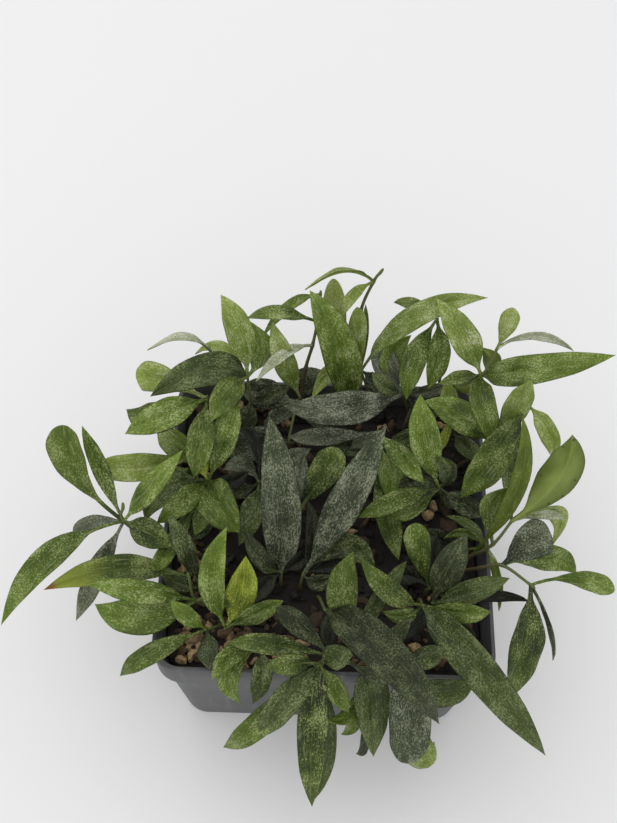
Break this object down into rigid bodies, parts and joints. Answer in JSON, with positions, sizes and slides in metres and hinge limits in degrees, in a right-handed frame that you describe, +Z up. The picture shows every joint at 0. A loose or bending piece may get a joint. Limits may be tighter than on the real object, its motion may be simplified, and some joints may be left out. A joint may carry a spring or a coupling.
{
  "type": "potted wax plant",
  "caption": "Trailing wax plant with thick, silver-flecked, pointed leaves, grown from cuttings in a square tapered plastic nursery pot with drain holes.",
  "frame": {"origin": "middle of the pot's underside, on the surface that it stands on", "axes": "+Z up; -Y towards the front, the side that the picture looks at; +X to the right of it"},
  "size_m": [0.275, 0.228, 0.1674],
  "materials": {
    "pot_plastic": "satin black moulded plastic",
    "substrate": "damp bark, peat and clay crumbs, rough",
    "leaf": "waxy green leaf with silver flecks, half gloss"
  },
  "bodies": {
    "root": {"pot": "pot_plastic", "substrate": "substrate", "cutting_left": "leaf", "cutting_left_low": "leaf", "cutting_front_left": "leaf", "cutting_front_left_low": "leaf", "cutting_front_mid": "leaf", "cutting_front_star": "leaf", "cutting_front_big": "leaf", "cutting_front_hang": "leaf", "cutting_front_round": "leaf", "cutting_front_right": "leaf", "cutting_right_low": "leaf", "cutting_right_tall": "leaf", "cutting_right_back": "leaf", "cutting_right_arch": "leaf", "cutting_mid_right_low": "leaf", "cutting_mid_right_round": "leaf", "cutting_mid_right": "leaf", "cutting_mid_top": "leaf", "cutting_mid_diag": "leaf", "cutting_mid_tall": "leaf", "cutting_mid_round": "leaf", "cutting_left_front": "leaf", "cutting_mid_left": "leaf", "cutting_left_dark": "leaf", "cutting_mid_left_dark": "leaf", "cutting_back_left_low": "leaf", "cutting_back_left": "leaf", "cutting_back_left_thin": "leaf", "cutting_back_mid_left": "leaf", "cutting_back_top": "leaf", "cutting_back_mid": "leaf", "cutting_back_grey": "leaf", "cutting_back_arch": "leaf", "cutting_back_right": "leaf", "cutting_back_hang": "leaf", "cutting_mid_back_small": "leaf", "cutting_mid_left_shade": "leaf"}
  },
  "joints": []
}
